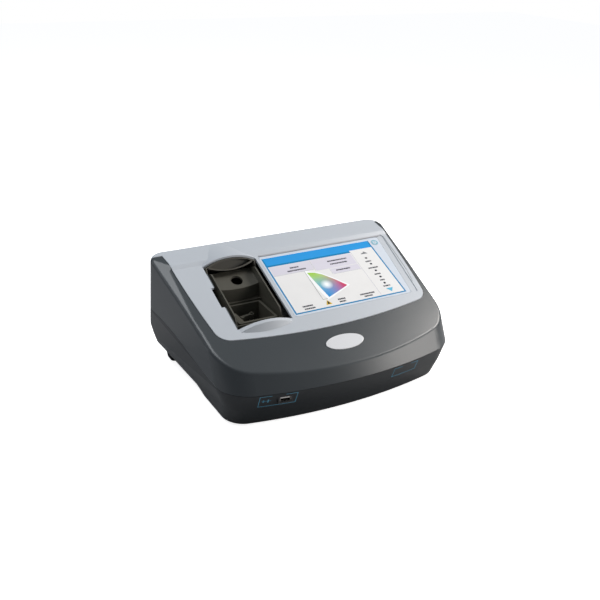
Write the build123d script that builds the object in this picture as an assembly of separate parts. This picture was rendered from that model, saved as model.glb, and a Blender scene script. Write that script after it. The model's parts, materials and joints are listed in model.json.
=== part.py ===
from build123d import *
import os
from math import atan2, cos, degrees, pi, radians, sin, sqrt, tan

# Benchtop colorimeter. Millimetres; X right, Y back from the foremost point of the
# casing, Z up from the bench. Pieces are written out with the origin moved to the
# middle of the footprint, so the front looks along -Y.

# casing, overall
width = 357.0
depth = 252.0
casing_x = -7.0              # middle of the casing; X is measured from the display's own zero
wall = 2.6
waist_height = 52.0          # where the base meets the housing at the front
front_half_width = 160.0
front_bow = 24.7             # how far the front bulges forward between its corners
front_corner = 46.0
rear_corner = 20.0
front_lean = 52.0            # how far the front leans back over the draft's height
side_draft = 2.0
rear_draft = 8.0
draft_rise = 108.0           # height over which the drafts build up
flank_front = 53.0           # the side walls are widest along a line that climbs to the back
flank_rear = 82.0
flank_inset = 6.0            # how far the flanks draw in below that line, down to the bend
edge_round = 5.0
seam_gap = 0.4

# sloping top
brow_height = 68.4           # front edge of the sloping top, on the middle line
brow_setback = 4.0
panel_tilt = 20.65
step_start = 197.7           # where the panel ends and the step up to the rear strip begins
step_end = 203.0
step_rise = 2.1              # height of the step above the line of the panel
strip_rise = 5.1
strip_end = 246.0
shoulder_front_x = 160.0     # the side bevel starts from nothing here, on the panel's level
shoulder_front_y = 45.0
shoulder_margin = 0.8        # dark rim left between the cover and the bevel at the back
shoulder_drop = 5.0          # height of the bevel where it ends at the back
shoulder_rear_x = 173.0
shoulder_rear_y = 230.0

# base
bend_height = 28.0           # the base's walls turn inwards more sharply below this
bend_inset = 7.0
bend_rear = 2.0
bend_front = 10.0
sole_height = 2.0            # underside of the front part
sole_front = 22.7
sole_half_width = 151.5
sole_bow = 18.5
sole_rear_inset = 6.0
sole_corner = 30.0
sole_round = 6.0
belly_height = 12.0          # underside of the raised rear part
belly_start = 114.0
belly_ramp = 16.0
seam_rise = 26.5             # how much the parting line climbs towards the back

# feet
front_foot_radius = 9.0
front_foot_x = 126.0
front_foot_y = 62.0
rear_foot_size = 24.0
rear_foot_x = 145.0
rear_foot_y = 228.0
foot_stud_radius = 2.5
foot_stud_length = 3.4

# light cover
cover_x = -3.5               # middle of the cover's outline
cover_front = 65.5
cover_bow = 13.1
cover_half_front = 147.7
cover_half_rear = 161.5
cover_side_bow = 3.0
flare_start = 231.0          # behind this the cover reaches out to the casing's edges
cover_front_corner = 19.0
cover_thickness = 3.4
cover_proud = 0.6
cover_gap = 0.3
ledge_width = 7.0
ledge_thickness = 2.4

# cell compartment and its round lid
compartment_x = -88.0
opening_width = 74.0
opening_start = 91.0         # distances up the slope from the front edge of the top
opening_end = 203.0
arch_radius = 80.0           # crown of lid, hood and lip, seen from the front
hood_front = 194.2
hood_crown = 149.6
hood_length = 44.0
lip_crown = 7.8
lip_front = 79.5
lip_plan_radius = 103.0
lip_lean = 8.0
notch_depth = 4.0
notch_start = 130.0
notch_end = 165.0
pivot_y = 163.5
pivot_z = 73.3
lid_crown_radius = 79.3
lid_clearance = 0.7
lid_thickness = 1.8
lid_half_width = 34.6
lid_arc = 86.0
lid_rest_start = -18.0       # angle of the parked lid's rear edge above the horizontal
grip_half_width = 30.5
grip_lower_radius = 64.0
grip_side_radius = 70.0
grip_arc = 7.0
grip_wall = 1.6
hub_radius = 8.0
pin_radius = 3.0
pin_head_radius = 5.0
pin_head_thickness = 1.2
running_clearance = 0.05

# compartment tub
tub_half_width = 31.2
tub_wall = 1.8
tub_radius = 63.2
tub_floor = 28.0
tub_top_gap = 1.0
well_front = 104.5
well_rear = 160.5
well_floor = 36.0
well_step_height = 99.0
deck_front = 168.2
deck_depth = 12.0            # vial deck below the panel
deck_thickness = 2.5
deck_bow = 4.0
beam_height = 50.0
beam_hole_radius = 4.0
beam_window = 3.0            # half of the square light windows in the adapter
guide_depth = 5.0

# vial and cuvette places
vial_x = -85.0
vial_y = 178.2
vial_bore_radius = 6.75
vial_sleeve_radius = 8.25
vial_bore_bottom = 38.0
vial_bore_top = 112.5
vial_mouth_radius = 7.8
vial_window_radius = 2.0
adapter_half_width = 26.0
adapter_front = 106.5
adapter_rear = 158.5
adapter_top = 97.6
adapter_rim = 3.2
adapter_recess = 24.0
cell_size = 10.4
cell_y = 132.0
cell_floor = 43.0
lever_length = 17.0
lever_width = 4.0
lever_height = 6.0
lever_pin_radius = 1.5

# display
display_x = 39.2
display_s = 147.0
display_length = 165.0
display_breadth = 104.0
display_thickness = 6.0
window_margin = 3.5
overlay_thickness = 1.5
overlay_sink = 0.8
overlay_left = -46.0
overlay_front = 92.0
overlay_rear = 205.0
overlay_right_front = 129.0
overlay_right_rear = 140.0
overlay_corner = 4.0
bezel_margin_right = 9.5
bezel_margin = 1.6
frame_thickness = 1.2
frame_margin = 2.0
board_thickness = 1.6
display_board_gap = 3.0

# power button
button_x = 130.5
button_s = 194.5
button_radius = 5.2
button_gap = 0.3
button_length = 7.0
button_flange = 1.1
button_travel = 0.8

# badge
badge_x = -5.0
badge_s = 38.0
badge_length = 52.0
badge_breadth = 23.0
badge_thickness = 1.4
badge_sink = 0.6

# front socket
socket_x = -100.0
socket_z = 42.0
socket_turn = -10.5
socket_face = 11.5
socket_bezel_width = 18.0
socket_bezel_height = 10.5

# chassis and boards
chassis_height = 17.0
chassis_thickness = 1.2
chassis_half_width = 144.5
chassis_front = 126.0
chassis_rear = 238.0
mainboard_left = 4.0
mainboard_right = 124.0
mainboard_front = 48.0
mainboard_rear = 104.0
mainboard_height = 12.0
post_radius = 4.5
screw_radius = 1.5
screw_head_radius = 2.8
screw_head_height = 1.8
screw_slack = 0.3            # around a shank that only passes through

# optics
optics_left = -42.0
optics_right = 44.0
optics_front = 124.0
optics_rear = 234.0
optics_top = 76.0
optics_wall = 3.0
lamp_beam_y = 214.0
turntable_x = 2.0
turntable_y = 192.0
turntable_radius = 15.0
shaft_radius = 3.0
gear_module = 1.0
sector_teeth = 48
pinion_teeth = 12
gear_height = 4.0
gear_level = 80.0
motor_size = 28.0
motor_height = 14.0
lamp_left = 68.0
lamp_right = 112.0
lamp_front = 194.0
lamp_rear = 238.0
lamp_top = 84.0
lamp_radius = 6.0
lens_radius = 8.0
lens_thickness = 6.0
lens_bulge = 1.6
lens_x = 58.0
wheel_x = 51.0
wheel_radius = 26.0
wheel_thickness = 3.0
filter_circle = 19.0
filter_radius = 5.0
filter_count = 6
bracket_x = 56.8

# rear
fan_x = 125.0
fan_z = 111.0
fan_size = 50.0
fan_thickness = 14.0
fan_rear = 240.5
blade_count = 7
io_margin = 37.5             # from the casing's left edge to the sockets' opening
io_width = 100.0
inlet_height = 11.6
io_bottom = 20.0
io_top = 45.0
io_face = 241.0
io_board_height = 24.0
door_left = 62.0
door_right = 118.0
door_bottom = 27.0
door_top = 71.0
door_gap = 0.3

left_edge = casing_x - width / 2
io_left = left_edge + io_margin
io_right = io_left + io_width
slope = tan(radians(panel_tilt))
rise = 1 / cos(radians(panel_tilt))
panel = Plane(
    origin=(0, brow_setback, brow_height),
    x_dir=(1, 0, 0),
    z_dir=(0, -sin(radians(panel_tilt)), cos(radians(panel_tilt))),
)
on_panel = panel.location
far = 400.0


# ---- small helpers

def block(xs, ys, zs):
    size = Box(xs[1] - xs[0], ys[1] - ys[0], zs[1] - zs[0])
    return Pos((xs[0] + xs[1]) / 2, (ys[0] + ys[1]) / 2, (zs[0] + zs[1]) / 2) * size


def post(x, y, zs, radius):
    return Pos(x, y, (zs[0] + zs[1]) / 2) * Cylinder(radius, zs[1] - zs[0])


def rod_x(y, z, xs, radius):
    return Pos((xs[0] + xs[1]) / 2, y, z) * Rot(0, 90, 0) * Cylinder(radius, xs[1] - xs[0])


def rod_y(x, z, ys, radius):
    return Pos(x, (ys[0] + ys[1]) / 2, z) * Rot(90, 0, 0) * Cylinder(radius, ys[1] - ys[0])


def slab(xs, ss, hs):
    """A block in the sloping panel's own directions: across, up the slope, out of it."""
    return on_panel * block(xs, ss, hs)


def panel_height(y):
    return brow_height + slope * (y - brow_setback)


def save(shape, name):
    solids = [Pos(-casing_x, -depth / 2, 0) * solid for solid in shape.solids()]
    export_step(Compound(solids), f"parts/{name}.step")


# ---- casing forms

def plan_face(z, front, bow, half_front, half_rear, rear, corner_front, corner_rear):
    bend = front + bow
    arc = ThreePointArc((-half_front, bend), (0, front), (half_front, bend))
    sides = Polyline((half_front, bend), (half_rear, rear), (-half_rear, rear), (-half_front, bend))
    face = make_face([arc, sides])
    face = fillet(face.vertices().sort_by(Axis.Y)[:2], corner_front)
    face = fillet(face.vertices().sort_by(Axis.Y)[-2:], corner_rear)
    return Pos(casing_x, 0, z) * face


def waist_face(inset):
    return plan_face(
        waist_height, inset, front_bow, front_half_width - inset, width / 2 - inset,
        depth - inset, front_corner - inset / 2, rear_corner - inset / 2,
    )


def roof_below(lift):
    """Everything under the top surface, moved up or down by lift square to the panel."""
    up = lift * rise
    front = -30.0
    back = depth + 10
    corner = panel_height(step_end) + step_rise + up
    points = [
        (front, -far),
        (front, panel_height(front) + up),
        (step_start, panel_height(step_start) + up),
        (step_end, corner),
        (strip_end, corner + strip_rise),
        (back, corner + strip_rise - (back - strip_end) / 4),
        (back, -far),
    ]
    face = Plane.YZ * make_face(Polyline(*points, close=True))
    return extrude(face, width, both=True)


def shoulder_cut(side, inset):
    """The half space outside the bevel that joins the top to a side wall."""
    front = (casing_x + side * shoulder_front_x, shoulder_front_y, panel_height(shoulder_front_y))
    top = (cover_x + side * (cover_half_rear + shoulder_margin), step_end, panel_height(step_end))
    low = panel_height(shoulder_rear_y) - shoulder_drop
    return outside_plane(front, top, (casing_x + side * shoulder_rear_x, shoulder_rear_y, low), inset)


def outside_plane(first, second, third, inset):
    """The half space beyond a plane through three points, on the side away from the casing."""
    first = Vector(*first)
    along = (Vector(*second) - first).normalized()
    normal = along.cross(Vector(*third) - first).normalized()
    if normal.dot(first - Vector(casing_x, depth / 2, waist_height)) < 0:
        normal = normal * -1
    border = Plane(origin=first - normal * inset, x_dir=along, z_dir=normal)
    return border.location * Pos(0, 0, far) * Box(4 * far, 4 * far, 2 * far)


def flank_cut(side, inset):
    """The half space outside a side wall where it draws in towards the bench."""
    slant = flank_inset / (flank_rear - bend_height)
    front = (casing_x + side * front_half_width, front_bow, flank_front)
    rear = (casing_x + side * width / 2, depth, flank_rear)
    below = (front[0] - side * slant * far, front_bow, flank_front - far)
    return outside_plane(front, rear, below, inset)


def upper_form(inset, lift=-cover_proud, rounded=False):
    top = plan_face(
        waist_height + draft_rise, inset + front_lean, front_bow,
        front_half_width - inset - side_draft, width / 2 - inset - side_draft,
        depth - inset - rear_draft, front_corner - inset / 2, rear_corner - inset / 2,
    )
    body = loft([waist_face(inset), top], ruled=True)
    body = body & roof_below(lift - inset)
    body = body - shoulder_cut(-1, inset) - shoulder_cut(1, inset)
    if rounded:
        edges = body.edges().filter_by_position(Axis.Z, waist_height + 4, far)
        body = fillet(edges, edge_round)
    return body - flank_cut(-1, inset) - flank_cut(1, inset)


def lower_form(inset):
    bend = plan_face(
        bend_height, inset + bend_front, (front_bow + sole_bow) / 2,
        front_half_width - bend_inset - inset, width / 2 - bend_inset - inset,
        depth - bend_rear - inset, sole_corner - inset / 2, rear_corner - inset / 2,
    )
    sole = plan_face(
        sole_height, inset + sole_front, sole_bow, sole_half_width - inset,
        sole_half_width - inset, depth - inset - sole_rear_inset,
        sole_corner - inset / 2, rear_corner - inset / 2,
    )
    body = loft([waist_face(inset), bend, sole], ruled=True)
    return body - flank_cut(-1, inset) - flank_cut(1, inset)


def belly_below(lift):
    """The space under the base, raised by lift."""
    top = belly_height + lift
    low = sole_height + lift
    points = [
        (-far, -far), (-far, low), (belly_start, low),
        (belly_start + belly_ramp, top), (depth + 50, top), (depth + 50, -far),
    ]
    face = Plane.YZ * make_face(Polyline(*points, close=True))
    return extrude(face, width, both=True)


def seam_above(lift):
    base = waist_height + lift
    climb = [(45.0, 0.0), (80.0, 0.15), (111.0, 0.38), (141.0, 0.62), (165.0, 0.78), (191.0, 0.89)]
    points = [(y, base + share * seam_rise) for y, share in climb]
    points.append((depth + 10, base + seam_rise))
    line = Spline(*points, tangents=[(1, 0), (1, 0.04)])
    front = Line((-50.0, base), points[0])
    rest = Polyline(points[-1], (depth + 10, far), (-50.0, far), (-50.0, base))
    face = Plane.YZ * make_face([front, line, rest])
    return extrude(face, width, both=True)


def cover_face(inset, rear):
    bend = cover_front + cover_bow + inset
    half_front = cover_half_front - inset
    half_rear = cover_half_rear - inset
    middle = ((half_front + half_rear) / 2 + cover_side_bow, (bend + rear) / 2)
    front = ThreePointArc((-half_front, bend), (0, cover_front + inset), (half_front, bend))
    right = ThreePointArc((half_front, bend), middle, (half_rear, rear))
    left = ThreePointArc((-half_rear, rear), (-middle[0], middle[1]), (-half_front, bend))
    face = make_face([front, right, Line((half_rear, rear), (-half_rear, rear)), left])
    face = fillet(face.vertices().sort_by(Axis.Y)[:2], cover_front_corner - inset / 2)
    return Pos(cover_x, 0, 0) * face


def cover_prism(inset):
    """Seen from above, the cover's outline, with the strip that reaches out at the back."""
    main = extrude(cover_face(inset, depth - rear_draft - 1), far)
    flare = block((-width, width), (flare_start + inset, depth + 10), (0, far))
    return main + flare


def cover_hollow():
    """The opening left inside the ledge that carries the cover."""
    return extrude(cover_face(ledge_width, depth - rear_draft - wall - ledge_width), far)


# ---- lid forms, drawn on a plane through the pivot and swept round it

def lid_plane(angle):
    turn = radians(angle)
    return Plane(
        origin=(compartment_x, pivot_y, pivot_z), x_dir=(1, 0, 0),
        z_dir=(0, -sin(turn), cos(turn)),
    )


pivot_axis = Axis((0, pivot_y, pivot_z), (1, 0, 0))


def arch_drop(half):
    return arch_radius - sqrt(arch_radius**2 - half**2)


def drum_section(half, crown, angle):
    edge = crown - arch_drop(half)
    arc = ThreePointArc((-half, edge), (0, crown), (half, edge))
    rest = Polyline((half, edge), (half, 0), (-half, 0), (-half, edge))
    return lid_plane(angle) * make_face([arc, rest])


def grip_section(margin, angle):
    half = grip_half_width - margin
    crown = lid_crown_radius - margin
    edge = crown - arch_drop(half)
    low_edge = grip_side_radius + margin
    upper = ThreePointArc((-half, edge), (0, crown), (half, edge))
    lower = ThreePointArc((half, low_edge), (0, grip_lower_radius + margin), (-half, low_edge))
    sides = [Line((half, edge), (half, low_edge)), Line((-half, low_edge), (-half, edge))]
    return lid_plane(angle) * make_face([upper, sides[0], lower, sides[1]])


def lid_sweep():
    """All the room that the lid needs from parked to closed."""
    start = lid_rest_start - 4
    section = drum_section(lid_half_width + lid_clearance, lid_crown_radius + lid_clearance, start)
    return revolve(section, pivot_axis, 2 * lid_arc + 6)


# ---- casing pieces

casing_posts = [(casing_x + side * x, y) for x, y in ((138.0, 66.0), (150.0, 212.0)) for side in (-1, 1)]
post_joint = 41.0
rib_top = 86.0


def make_upper_housing():
    shell = upper_form(0, rounded=True) - upper_form(wall)
    ledge = roof_below(-cover_proud - wall / 2) - roof_below(-cover_thickness - ledge_thickness)
    shell = shell + (ledge & cover_prism(-wall) & upper_form(wall / 2))
    for x, y in casing_posts:
        shell = shell + (post(x, y, (post_joint, far / 2), post_radius) & whole_form(wall / 2))
    pocket = cover_prism(-cover_gap) - roof_below(-cover_thickness)
    shell = shell - pocket - cover_hollow()
    for x, y in casing_posts:
        shell = shell + (post_rib(x, y) & whole_form(wall / 2))
    posts_below = [post(x, y, (post_joint, waist_height + seam_rise), post_radius) for x, y in casing_posts]
    shell = shell & seam_above(seam_gap / 2)
    for below in posts_below:
        shell = shell + (below - seam_above(seam_gap / 2))
    for x, y in casing_posts:
        shell = shell - post(x, y, (0, post_joint + 14), screw_radius)
    for x, y in cover_screw_points():
        shell = shell - post(x, y, (cover_screw_top(y) - 15, far), screw_radius + screw_slack)
    return shell - badge_pocket() - fan_vents()


def post_rib(x, y):
    """A screw post's upper end and the web that ties it to the side wall."""
    side = 1 if x > casing_x else -1
    web = Pos(x + side * 20, y, (post_joint + rib_top) / 2) * Box(40, 3, rib_top - post_joint)
    return post(x, y, (post_joint, rib_top), post_radius) + web


def screw_seat(y):
    """Where the casing screws' heads seat: deeper in the raised rear of the underside."""
    return (belly_height if y > belly_start else sole_height) + 8


def whole_form(inset):
    return upper_form(inset) + lower_form(inset)


def badge_plate_form(margin, hs):
    oval = Ellipse(badge_length / 2 + margin, badge_breadth / 2 + margin)
    body = extrude(oval, hs[1] - hs[0])
    return on_panel * Pos(badge_x, badge_s, hs[0]) * body


def badge_pocket():
    return badge_plate_form(0.2, (-cover_proud - badge_sink, 5))


def make_badge_plate():
    base = -cover_proud - badge_sink
    plate = badge_plate_form(0, (base, base + badge_thickness))
    top = plate.edges().group_by(Axis.Z)[-1]
    return fillet(top, 0.5)


def fan_vents():
    count = 7
    reach = fan_size / 2 - 4
    pitch = 2 * reach / count
    slots = []
    for i in range(count):
        z = fan_z - reach + pitch * (i + 0.5)
        slots.append(block((fan_x - reach, fan_x + reach), (depth - 20, depth + 5), (z - 1.4, z + 1.4)))
    return Compound(slots)


def make_base_shell():
    outer = whole_form(0) - belly_below(0)
    low = outer.edges().filter_by_position(Axis.Z, 0, belly_height + 1)
    outer = fillet(low, sole_round)
    inner = whole_form(wall) - belly_below(wall)
    shell = (outer - inner) - seam_above(-seam_gap / 2)
    inside = whole_form(wall / 2) - belly_below(wall / 2)
    for x, y in casing_posts:
        shell = shell + (post(x, y, (sole_height, post_joint), post_radius) & inside)
    for x, y in chassis_points():
        shell = shell + post(x, y, (belly_height + wall / 2, chassis_height), post_radius)
    for x, y in mainboard_points():
        shell = shell + post(x, y, (sole_height + wall / 2, mainboard_height), post_radius)
    for x, y in casing_posts:
        shell = shell - post(x, y, (-1, post_joint + 1), screw_radius + screw_slack)
        seat = screw_seat(y)
        shell = shell - post(x, y, (-1, seat), screw_head_radius + 0.4)
    for x, y in chassis_points():
        shell = shell - post(x, y, (belly_height + wall, chassis_height + 1), screw_radius)
    for x, y in mainboard_points():
        shell = shell - post(x, y, (sole_height + wall, mainboard_height + 1), screw_radius)
    shell = shell - foot_sockets() - front_socket_hole(0.2) - lamp_door_block(0)
    shell = shell - block((io_left, io_right), (depth - 15, depth + 5), (io_bottom, io_top))
    return shell - floor_vents() + door_lugs()


def floor_vents():
    zs = (belly_height - 1, belly_height + wall + 1)
    slots = [block((x - 1.5, x + 1.5), (150, 200), zs) for x in range(-30, 31, 10)]
    return Compound(slots)


def chassis_points():
    return [(casing_x + side * x, y) for x, y in ((138.0, 136.0), (128.0, 228.0)) for side in (-1, 1)]


def mainboard_points():
    inset = 6.0
    xs = (mainboard_left + inset, mainboard_right - inset)
    ys = (mainboard_front + inset, mainboard_rear - inset)
    return [(x, y) for x in xs for y in ys]


def either_side(x):
    return (casing_x - x, casing_x + x)


def foot_sockets():
    holes = []
    for x in either_side(front_foot_x):
        holes.append(post(x, front_foot_y, (0, sole_height + foot_stud_length), foot_stud_radius))
    for x in either_side(rear_foot_x):
        holes.append(post(x, rear_foot_y, (0, belly_height + foot_stud_length), foot_stud_radius))
    return Compound(holes)


def make_rubber_feet():
    feet = []
    for x in either_side(front_foot_x):
        pad = post(x, front_foot_y, (0, sole_height), front_foot_radius)
        pad = fillet(pad.edges().group_by(Axis.Z)[0], 0.8)
        stud = post(x, front_foot_y, (sole_height, sole_height + foot_stud_length), foot_stud_radius)
        feet.append(pad + stud)
    for x in either_side(rear_foot_x):
        half = rear_foot_size / 2
        bottom = Pos(x, rear_foot_y, 0) * RectangleRounded(2 * half - 4, 2 * half - 4, 5)
        top = Pos(x, rear_foot_y, belly_height) * RectangleRounded(2 * half, 2 * half, 6)
        shoe = loft([bottom, top], ruled=True)
        shoe = fillet(shoe.edges().group_by(Axis.Z)[0], 1.5)
        stud = post(x, rear_foot_y, (belly_height, belly_height + foot_stud_length), foot_stud_radius)
        feet.append(shoe + stud)
    return Compound(feet)


def make_base_screws():
    screws = []
    for x, y in casing_posts:
        seat = screw_seat(y)
        head = post(x, y, (seat - screw_head_height, seat), screw_head_radius)
        screws.append(head + post(x, y, (seat, post_joint + 12), screw_radius - 0.05))
    return Compound(screws)


# ---- cover

def make_hood():
    ys = (hood_front, hood_front + hood_length)
    crown = rod_y(compartment_x, hood_crown - arch_radius, ys, arch_radius)
    return crown & (roof_below(30) - roof_below(-1.0))


def make_lip():
    ys = (lip_front - 5, opening_start)
    ridge = on_panel * rod_y(compartment_x, lip_crown - arch_radius, ys, arch_radius)
    ridge = ridge & slab((-far, far), (0, far), (-1.0, 30.0))
    nose = Cone(lip_plan_radius, lip_plan_radius - lip_lean, lip_crown + 1)
    nose = on_panel * Pos(compartment_x, lip_front + lip_plan_radius, (lip_crown + 1) / 2) * nose
    foot = on_panel * Pos(compartment_x, lip_front + lip_plan_radius, -0.5) * Cylinder(lip_plan_radius, 1.0)
    return ridge & (nose + foot)


def overlay_face(margin, margin_right):
    lean = (overlay_right_rear - overlay_right_front) / (overlay_rear - overlay_front)
    right_front = overlay_right_front + margin_right - lean * margin
    right_rear = overlay_right_rear + margin_right + lean * margin
    face = make_face(Polyline(
        (overlay_left - margin, overlay_front - margin), (right_front, overlay_front - margin),
        (right_rear, overlay_rear + margin), (overlay_left - margin, overlay_rear + margin), close=True,
    ))
    return fillet(face.vertices(), overlay_corner)


def overlay_body(margin, margin_right, hs):
    return on_panel * Pos(0, 0, hs[0]) * extrude(overlay_face(margin, margin_right), hs[1] - hs[0])


def window_block(hs):
    half_x = display_length / 2 - window_margin
    half_s = display_breadth / 2 - window_margin
    return slab((display_x - half_x, display_x + half_x), (display_s - half_s, display_s + half_s), hs)


def panel_rod(x, s, hs, radius):
    return on_panel * post(x, s, hs, radius)


def make_top_cover():
    plate = upper_form(0, 0, rounded=True) - roof_below(-cover_thickness)
    plate = plate & cover_prism(0)
    plate = plate + make_hood() + make_lip()
    half = opening_width / 2
    opening = slab((compartment_x - half, compartment_x + half), (opening_start, opening_end), (-20, 20))
    under_hood = opening & block((-far, far), (0, hood_front), (0, far))
    plate = plate - under_hood - lid_sweep()
    left = compartment_x - half
    plate = plate - slab((left - notch_depth, left + 1), (notch_start, notch_end), (-20, 20))
    plate = plate - overlay_body(bezel_margin, bezel_margin_right, (-overlay_sink, 5))
    plate = plate - overlay_body(cover_gap, cover_gap, (-overlay_sink - overlay_thickness, 5))
    plate = plate - window_block((-20, 5))
    plate = plate - panel_rod(button_x, button_s, (-20, 5), button_radius + 0.8)
    for x, y in cover_screw_points():
        plate = plate - post(x, y, (0, cover_screw_top(y)), screw_radius)
    return plate


def cover_screw_points():
    inset = ledge_width / 2
    front_x = cover_half_front - inset
    rear_x = cover_half_rear - inset
    places = [(front_x + (rear_x - front_x) * t, 96.0 + 126 * t) for t in (0.0, 0.5, 1.0)]
    return [(cover_x + side * x, y) for side in (-1, 1) for x, y in places]


def surface_height(y):
    if y <= step_start:
        return panel_height(y)
    return panel_height(step_end) + step_rise + strip_rise * (y - step_end) / (strip_end - step_end)


def cover_screw_top(y):
    return surface_height(y) - (cover_thickness - 2.0) * rise


def make_cover_screws():
    screws = []
    for x, y in cover_screw_points():
        under = surface_height(y) - (cover_thickness + ledge_thickness) * rise - 1.2
        shank = post(x, y, (under, cover_screw_top(y)), screw_radius - 0.02)
        screws.append(shank + post(x, y, (under - screw_head_height, under), screw_head_radius))
    return Compound(screws)


# ---- lid, pins and guides

def make_lid_shell():
    outer = drum_section(lid_half_width, lid_crown_radius, lid_rest_start)
    inner = drum_section(lid_half_width - lid_thickness, lid_crown_radius - lid_thickness, lid_rest_start)
    shell = revolve(outer, pivot_axis, lid_arc) - revolve(inner, pivot_axis, lid_arc)
    lid_front = lid_rest_start + lid_arc
    grip = revolve(grip_section(0, lid_front - grip_arc), pivot_axis, grip_arc)
    scoop = revolve(grip_section(grip_wall, lid_front - grip_arc + 2), pivot_axis, grip_arc)
    shell = shell + grip - scoop
    for side in (-1, 1):
        outside = compartment_x + side * lid_half_width
        inside = outside - side * lid_thickness
        xs = (min(outside, inside), max(outside, inside))
        shell = shell + rod_x(pivot_y, pivot_z, xs, hub_radius)
        shell = shell - rod_x(pivot_y, pivot_z, (xs[0] - 1, xs[1] + 1), pin_radius + running_clearance)
    return shell


def make_lid_pins():
    pins = []
    for side in (-1, 1):
        wall_in = compartment_x + side * (tub_half_width - tub_wall)
        end = compartment_x + side * (lid_half_width + 1.6)
        head = wall_in - side * pin_head_thickness
        shaft = rod_x(pivot_y, pivot_z, (min(wall_in, end), max(wall_in, end)), pin_radius)
        cap = rod_x(pivot_y, pivot_z, (min(wall_in, head), max(wall_in, head)), pin_head_radius)
        pins.append(shaft + cap)
    return Compound(pins)


def make_lid_guides():
    """Two strips along the opening's left side, just outside the lid's cheek."""
    xs = (compartment_x - opening_width / 2 + 0.1, compartment_x - lid_half_width - 0.7)
    depths = (-guide_depth, -0.8)
    front = slab(xs, (opening_start + 2, notch_start - 1), depths)
    rear = slab(xs, (notch_end + 1, opening_end - 12), depths)
    return Compound([front, rear])


# ---- compartment tub and what it holds

def tub_xs(margin=0.0):
    half = tub_half_width - margin
    return (compartment_x - half, compartment_x + half)


def tub_wall_xs():
    return tub_xs(tub_wall)


def make_compartment_tub():
    drum = rod_x(pivot_y, pivot_z, tub_xs(), tub_radius)
    drum = drum & block((-far, far), (0, far), (tub_floor, far))
    front = block(tub_xs(), (well_front - tub_wall, pivot_y), (tub_floor, well_step_height - 2))
    body = drum + front
    body = body & slab((-far, far), (-far, far), (-far, -tub_top_gap))
    xs = tub_wall_xs()
    body = body - block(xs, (well_front, well_rear), (well_floor, far))
    before_deck = make_face([
        Polyline((xs[0], deck_front), (xs[0], well_rear - 1), (xs[1], well_rear - 1), (xs[1], deck_front)),
        ThreePointArc((xs[1], deck_front), (compartment_x, deck_front - deck_bow), (xs[0], deck_front)),
    ])
    body = body - extrude(Pos(0, 0, well_step_height) * before_deck, far)
    over_deck = block(xs, (deck_front - deck_bow - 1, depth), (0, far))
    body = body - (slab(xs, (0, far), (-deck_depth, 50)) & over_deck)
    inner_drum = rod_x(pivot_y, pivot_z, xs, tub_radius - tub_wall)
    low = block(xs, (well_rear + 2, depth), (tub_floor + 2, well_step_height - 2))
    high = block(xs, (deck_front + 1.5, depth), (well_step_height - 3, far))
    high = high & slab((-far, far), (0, far), (-far, -deck_depth - deck_thickness))
    body = body - ((low + high) & inner_drum)
    for y in (cell_y, vial_y):
        body = body - rod_x(y, beam_height, (compartment_x - 50, compartment_x + 50), beam_hole_radius)
    body = body - rod_x(pivot_y, pivot_z, (compartment_x - 50, compartment_x + 50), pin_radius)
    body = body - post(vial_x, vial_y, (vial_bore_bottom, far), vial_mouth_radius)
    for x in (xs[0] + 6, xs[1] - 6):
        for y in (chassis_front + 6, 200.0):
            body = body + post(x, y, (chassis_height + chassis_thickness, tub_floor), post_radius)
    return body


def make_vial_sleeve():
    sleeve = post(vial_x, vial_y, (tub_floor + 2, vial_bore_top), vial_sleeve_radius)
    sleeve = sleeve - post(vial_x, vial_y, (vial_bore_bottom, vial_bore_top + 1), vial_bore_radius)
    return sleeve - rod_x(vial_y, beam_height, (vial_x - 20, vial_x + 20), vial_window_radius)


def adapter_xs(margin=0.0):
    half = adapter_half_width - margin
    return (compartment_x - half, compartment_x + half)


lever_pivot_x = compartment_x + 8.0
lever_pivot_y = cell_y + 13.0
recess_floor = adapter_top - adapter_recess


def make_cuvette_adapter():
    body = block(adapter_xs(), (adapter_front, adapter_rear), (well_floor + 0.3, adapter_top))
    body = chamfer(body.edges().filter_by(Axis.Z), 1.5)
    recess = block(
        adapter_xs(adapter_rim), (adapter_front + adapter_rim, adapter_rear - adapter_rim),
        (recess_floor, adapter_top + 1),
    )
    body = body - recess
    wedge_left = adapter_xs(adapter_rim)[0]
    wedge = Plane.XZ.offset(-(cell_y + 12)) * make_face(Polyline(
        (wedge_left, recess_floor), (wedge_left + 13, recess_floor),
        (wedge_left + 9, adapter_top - 5), (wedge_left, adapter_top - 3), close=True,
    ))
    body = body + extrude(wedge, 26, dir=(0, -1, 0))
    half = cell_size / 2
    cell = block((vial_x - half, vial_x + half), (cell_y - half, cell_y + half), (cell_floor, adapter_top))
    rim = half + 2
    xs = (vial_x - rim, vial_x + rim)
    collar = block(xs, (cell_y - rim, cell_y + rim), (recess_floor - 1, recess_floor + 6))
    body = body + collar - cell
    light = (beam_height - beam_window, beam_height + beam_window)
    body = body - block(adapter_xs(-1), (cell_y - beam_window, cell_y + beam_window), light)
    pin_zs = (recess_floor - 1, recess_floor + 9 + lever_height + 1)
    body = body + post(lever_pivot_x, lever_pivot_y, pin_zs, lever_pin_radius)
    return body


def make_cell_lever():
    low = recess_floor + 8
    arm = Pos(-lever_length / 2, 0, 0) * Box(lever_length, lever_width, lever_height)
    arm = fillet(arm.edges().filter_by(Axis.Z), 1.4)
    eye = Cylinder(3.4, lever_height)
    pad = Pos(-lever_length + 1.5, -2.2, 0) * Box(3, 3.5, lever_height)
    lever = arm + eye + pad
    lever = lever - Cylinder(lever_pin_radius + running_clearance, lever_height + 2)
    return Pos(lever_pivot_x, lever_pivot_y, low + lever_height / 2) * Rot(0, 0, 12) * lever


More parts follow.
